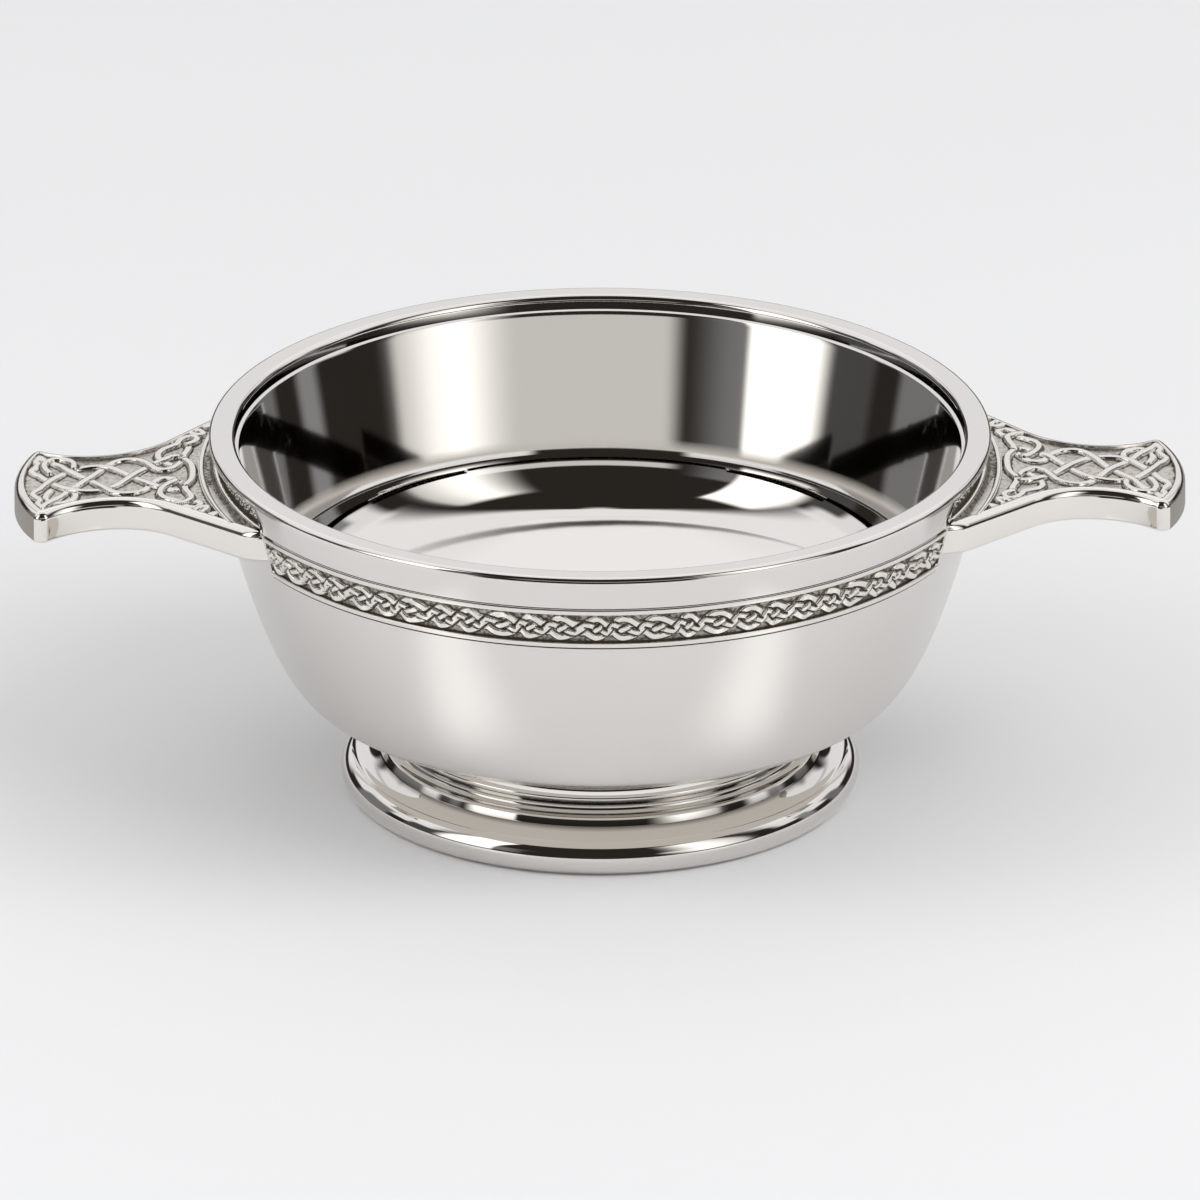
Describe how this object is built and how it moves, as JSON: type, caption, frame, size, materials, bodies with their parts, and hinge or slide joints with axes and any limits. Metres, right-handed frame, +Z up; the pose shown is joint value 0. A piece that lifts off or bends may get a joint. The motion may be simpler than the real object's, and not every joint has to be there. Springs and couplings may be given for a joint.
{
  "type": "quaich",
  "caption": "Shallow pewter drinking bowl on a moulded foot, with two flat waisted lug handles and bands of interlaced knotwork under the rim.",
  "frame": {"origin": "middle of the foot's underside, on the axis of the bowl, at table height", "axes": "+X along the lugs, +Y from the front of the bowl to its back, +Z up"},
  "size_m": [0.1524, 0.102, 0.049],
  "materials": {
    "polished_pewter": "polished pewter, slightly warm grey",
    "knotwork_pewter": "cast pewter with polished high points and darkened recesses"
  },
  "bodies": {
    "root": {"bowl": "polished_pewter", "rim_ring": "polished_pewter", "knot_band_front": "knotwork_pewter", "knot_band_back": "knotwork_pewter", "lug_left": "knotwork_pewter", "lug_right": "knotwork_pewter", "foot_ring": "polished_pewter"}
  },
  "joints": []
}
